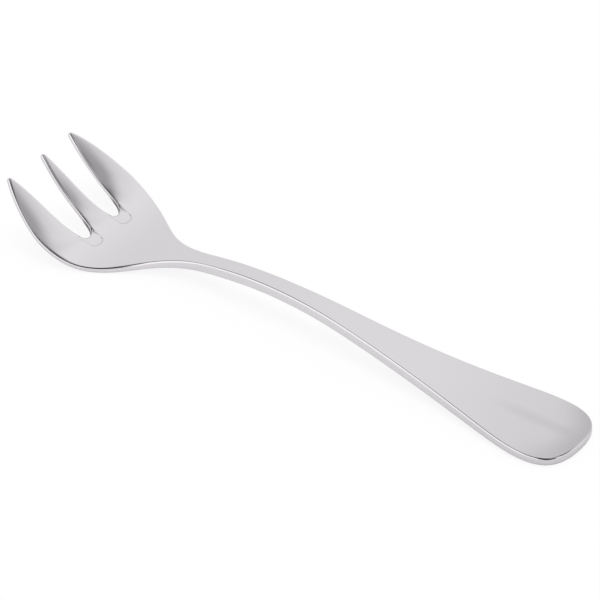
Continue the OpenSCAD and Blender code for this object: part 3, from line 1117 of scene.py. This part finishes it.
@dataclass(frozen=True)
class Shading:
    """Adds nodes to a material or a world."""

    tree: bpy.types.NodeTree

    @classmethod
    def fresh(cls, owner: bpy.types.Material | bpy.types.World) -> Shading:
        """Starts the nodes of a material or a world.

        Args:
            owner: the new material or world.

        Returns:
            The shading of it, with no node yet.
        """
        owner.use_nodes = True
        owner.node_tree.nodes.clear()
        return cls(owner.node_tree)

    def node(self, kind: str, settings: dict[str, Any], inputs: dict[Any, Any],
             output: Any = 0) -> Signal:
        """Adds a node.

        Args:
            kind: the node's type.
            settings: the node's own settings, such as its operation.
            inputs: values or signals for its input sockets, by name or number.
            output: name or number of the output that is wanted.

        Returns:
            That output.
        """
        made = self.tree.nodes.new(kind)
        for name, value in settings.items():
            setattr(made, name, value)
        for name, value in inputs.items():
            if isinstance(value, Signal):
                self.tree.links.new(value.socket, made.inputs[name])
            else:
                made.inputs[name].default_value = value
        return Signal(self.tree, made.outputs[output] if made.outputs else None)

    def vector(self, operation: str, inputs: dict[Any, Any], output: str) -> Signal:
        """Adds a Vector Math node."""
        return self.node("ShaderNodeVectorMath", {"operation": operation}, inputs, output)

    def share_towards(self, direction: Signal, middle: Sequence[float]) -> Signal:
        """The dot product of a direction and a fixed one."""
        return self.vector("DOT_PRODUCT", {0: direction, 1: middle}, "Value")

    def ray(self, kind: Ray) -> Signal:
        """1 where the ray is of a kind, and 0 elsewhere."""
        return self.node("ShaderNodeLightPath", {}, {}, kind.value)


@dataclass(frozen=True)
class PaintedEndShade:
    """Painted shade on the end of the handle, standing in for its darker reflections: a slow fall, a
    soft streak and a crescent, in millimetres.

    A streak or crescent has four limits: where it starts, where it is full, where it begins
    to end and where it is gone. Those of the crescent are shares of its reach. On the side
    of negative out, the crescent is weaker.
    """

    fall: tuple[float, float] = (30.0, 74.0)
    fall_depth: float = 0.1
    streak: tuple[float, float, float, float] = (48.0, 59.0, 66.0, 71.0)
    streak_from: float = 50.0
    streak_lean: float = 0.07
    streak_half: float = 2.4
    streak_depth: float = 0.072
    middle: float = 60.5
    reach: tuple[float, float] = (12.0, 9.9)
    squareness: float = 3.0
    crescent: tuple[float, float, float, float] = (0.32, 1.1, 0.965, 0.985)
    crescent_rise: tuple[float, float] = (60.5, 70.0)
    crescent_depth: float = 0.23
    near_fade: tuple[float, float] = (-0.2, -1.0)
    near_share: float = 0.4

    def shade(self, shading: Shading, place: Signal) -> Signal:
        """How much of the base colour the painted shade takes away on the end of the handle.

        Args:
            shading: where the nodes go.
            place: place on the fork, in metres.

        Returns:
            Share of the colour that the painted shade takes away.
        """
        along, out = (shading.node("ShaderNodeSeparateXYZ", {}, {0: place}, axis) * (1 / MM)
                      for axis in "XY")
        start, full, ends, gone = self.streak
        off = (out - (along - self.streak_from) * self.streak_lean).size()
        streak = along.smooth(start, full) * along.smooth(gone, ends) * off.smooth(self.streak_half, 0.0)
        right = (along - self.middle).maximum(0.0) * (1 / self.reach[0])
        side = out * (1 / self.reach[1])
        start, full, ends, gone = self.crescent
        power = self.squareness
        ring = (right.power(power) + side.size().power(power)).power(1 / power)
        crescent = ring.smooth(start, full) * ring.smooth(gone, ends)
        crescent = crescent * along.smooth(*self.crescent_rise)
        crescent = crescent * (1 - side.smooth(*self.near_fade) * self.near_share)
        return (along.smooth(*self.fall) * self.fall_depth + streak * self.streak_depth
                + crescent * self.crescent_depth)


@dataclass(frozen=True)
class PolishedSteel:
    """Bright stainless steel with fine polishing marks along the fork.

    The marks are noise that is stretched along the fork, and the cloud is a slow change of the polish.
    The shade that the mesh carries is painted shade: it darkens the lines round the flats and the walls
    of the slots, standing in for dark reflections there, and its third power keeps them narrow. The end
    of the handle gets painted shade too, for its darker reflections. Sizes are in metres.
    """

    colour: tuple[float, float, float] = (0.75, 0.73, 0.752)
    roughness: float = 0.09
    roughness_change: float = 0.04
    noise_middle: float = 0.5
    marks_scale: tuple[float, float, float] = (90.0, 1400.0, 1400.0)
    marks_detail: float = 3.0
    marks_strength: float = 0.02
    marks_depth: float = 0.0001
    cloud_scale: float = 60.0
    cloud_detail: float = 2.0
    painted_end_shade: PaintedEndShade = PaintedEndShade()

    def material(self) -> bpy.types.Material:
        """Makes the finish.

        Returns:
            The material.
        """
        made = bpy.data.materials.new("polished_steel")
        shading = Shading.fresh(made)
        place = shading.node("ShaderNodeTexCoord", {}, {}, "Object")
        stretched = shading.node("ShaderNodeMapping", {}, {"Vector": place, "Scale": self.marks_scale})
        marks = shading.node("ShaderNodeTexNoise", {}, {
            "Vector": stretched, "Scale": 1.0, "Detail": self.marks_detail}, "Fac")
        cloud = shading.node("ShaderNodeTexNoise", {}, {
            "Vector": place, "Scale": self.cloud_scale, "Detail": self.cloud_detail}, "Fac")
        bump = shading.node("ShaderNodeBump", {}, {
            "Height": marks, "Strength": self.marks_strength, "Distance": self.marks_depth})
        level = (self.roughness + (cloud - self.noise_middle) * self.roughness_change
                 + (marks - self.noise_middle) * self.roughness_change)
        shade = shading.node("ShaderNodeAttribute", {"attribute_name": "shade"}, {}, "Fac")
        # painted shade: the mesh's shade and that of the handle's end darken the base colour, for dark
        # reflections
        kept = (1 - shade * shade * shade) * (1 - self.painted_end_shade.shade(shading, place))
        colour = shading.vector("SCALE", {0: self.colour, "Scale": kept}, "Vector")
        steel = shading.node("ShaderNodeBsdfPrincipled", {}, {
            "Base Color": colour, "Metallic": 1.0, "Roughness": level, "Normal": bump})
        shading.node("ShaderNodeOutputMaterial", {}, {"Surface": steel})
        return made


@dataclass(frozen=True)
class SoftPatch:
    """A round part of the room, lighter or darker than the rest, with a soft edge, in degrees."""

    azimuth: float
    elevation: float
    radius: float
    softness: float
    level: float

    def over(self, shading: Shading, towards: Signal, rest: Signal) -> Signal:
        """Lays the patch over the rest of the room.

        Args:
            shading: where the nodes go.
            towards: the direction that is looked in.
            rest: level of the room without the patch.

        Returns:
            Level of the room with the patch.
        """
        turn, rise = math.radians(self.azimuth), math.radians(self.elevation)
        middle = (math.cos(turn) * math.cos(rise), math.sin(turn) * math.cos(rise), math.sin(rise))
        angle = shading.share_towards(towards, middle).arc() * math.degrees(1)
        share = angle.smooth(self.radius + self.softness / 2, self.radius - self.softness / 2)
        return rest + share * (self.level - rest)


@dataclass(frozen=True)
class Studio:
    """A white table in a light tent, whose darker and brighter parts the steel mirrors.

    The level of the tent rises a little in one direction, and each patch lies over those
    before it. Sizes are in metres.
    """

    table_size: float = 6.0
    table_level: float = 0.95
    white_seen: float = 0.88
    white_mirrored: float = 0.3
    # painted shade: how much darker the table is in the steel's reflections, for the fork's shadow near
    # it
    mirrored_painted_shade: float = 0.105
    room_level: float = 1.065
    room_rise: tuple[float, float, float] = (0.158, -0.136, -0.005)
    patches: tuple[SoftPatch, ...] = (
        SoftPatch(50.5, 42.0, 7.0, 38.5, 0.556),
        SoftPatch(35.0, 50.5, 13.5, 12.0, 0.44),
        SoftPatch(22.0, 43.5, 12.0, 7.0, 0.08),
        SoftPatch(66.0, 66.5, 10.0, 13.0, 0.14),
        SoftPatch(-42.0, 29.5, 30.5, 6.5, 0.08),
        SoftPatch(-113.5, 22.0, 25.0, 6.0, 1.24),
        SoftPatch(-166.5, 55.0, 19.0, 8.0, 0.2),
        SoftPatch(-78.0, 66.5, 24.0, 7.5, 0.08),
        SoftPatch(29.0, 69.0, 8.5, 5.0, 0.06))
    lamp_height: float = 1.2
    lamp_size: float = 1.0
    lamp_watts: float = 7.5

    def table(self) -> bpy.types.Object:
        """Makes the table.

        Returns:
            The table top, at the height of the fork's lowest places.
        """
        bm = bmesh.new()
        bmesh.ops.create_grid(bm, x_segments=1, y_segments=1, size=self.table_size / 2)
        table = shown("table", bm)
        made = bpy.data.materials.new("white_table")
        shading = Shading.fresh(made)
        seen, glossy, passing = (shading.ray(kind) for kind in Ray)
        # painted shade: in reflections the table is darker, standing in for the fork's shadow on it
        mirrored = 1 - glossy * self.mirrored_painted_shade
        plain = shading.node("ShaderNodeBsdfDiffuse", {}, {"Color": mirrored * self.table_level})
        white = shading.node("ShaderNodeEmission", {}, {"Color": mirrored, "Strength": 1.0})
        share = seen * self.white_seen + glossy.maximum(passing) * self.white_mirrored
        mixed = shading.node("ShaderNodeMixShader", {}, {0: share, 1: plain, 2: white})
        shading.node("ShaderNodeOutputMaterial", {}, {"Surface": mixed})
        table.data.materials.append(made)
        return table

    def light(self) -> None:
        """Sets the light of the room, and a lamp overhead that isn't mirrored."""
        world = bpy.data.worlds.new("tent")
        shading = Shading.fresh(world)
        towards = shading.node("ShaderNodeTexCoord", {}, {}, "Generated")
        level = self.room_level + shading.share_towards(towards, self.room_rise)
        for patch in self.patches:
            level = patch.over(shading, towards, level)
        shade = shading.node("ShaderNodeBackground", {}, {"Color": level, "Strength": 1.0})
        shading.node("ShaderNodeOutputWorld", {}, {"Surface": shade})
        bpy.context.scene.world = world
        data = bpy.data.lights.new("overhead_lamp", "AREA")
        data.shape, data.size, data.energy = "DISK", self.lamp_size, self.lamp_watts
        lamp = bpy.data.objects.new("overhead_lamp", data)
        lamp.location = (0.0, 0.0, self.lamp_height)
        lamp.visible_glossy = False
        bpy.context.scene.collection.objects.link(lamp)


@dataclass(frozen=True)
class PhotoCamera:
    """The camera, where the photograph was taken from.

    Lengths are in millimetres, angles in degrees, and pixels are those of the photograph.
    """

    target: tuple[float, float, float] = (-1.13, 0.0, 4.0)
    azimuth: float = 39.092
    elevation: float = 38.193
    roll: float = 2.315
    distance: float = 899.2
    lens_pixels: float = 4212.9
    offset_pixels: tuple[float, float] = (-4.1, 7.497)
    frame_pixels: int = 600
    sensor: float = 36.0
    nearest: float = 50.0

    def place(self) -> bpy.types.Object:
        """Makes the camera and gives it to the scene.

        Returns:
            The camera.
        """
        data = bpy.data.cameras.new("camera")
        data.sensor_fit = "HORIZONTAL"
        data.sensor_width = self.sensor
        data.lens = self.lens_pixels * self.sensor / self.frame_pixels
        data.shift_x = -self.offset_pixels[0] / self.frame_pixels
        data.shift_y = self.offset_pixels[1] / self.frame_pixels
        data.clip_start = self.nearest * MM
        turn, rise = math.radians(self.azimuth), math.radians(self.elevation)
        back = Vector((math.sin(turn) * math.cos(rise), -math.cos(turn) * math.cos(rise),
                       math.sin(rise)))
        right = Vector((math.cos(turn), math.sin(turn), 0.0))
        axes = Matrix((right, back.cross(right), back)).transposed().to_4x4()
        camera = bpy.data.objects.new("camera", data)
        camera.matrix_world = (Matrix.Translation((Vector(self.target) + back * self.distance) * MM)
                               @ axes @ Matrix.Rotation(-math.radians(self.roll), 4, "Z"))
        bpy.context.scene.collection.objects.link(camera)
        bpy.context.scene.camera = camera
        return camera


def main() -> None:
    """Builds the fork on its table, lights it and places the camera."""
    logging.basicConfig(level=logging.INFO, format="%(message)s")
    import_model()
    maker = OysterFork()
    fork = maker.build()
    maker.dress(fork, PolishedSteel())
    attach(fork, BODY)
    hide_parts(NODE)
    LOG.info("fork: %d faces before smoothing", len(fork.data.polygons))
    studio = Studio()
    table = studio.table()
    LOG.info("table: %.1f m wide", studio.table_size)
    studio.light()
    PhotoCamera().place()
    view = bpy.context.scene.view_settings
    view.view_transform = "Standard"


if __name__ == "__main__":
    main()
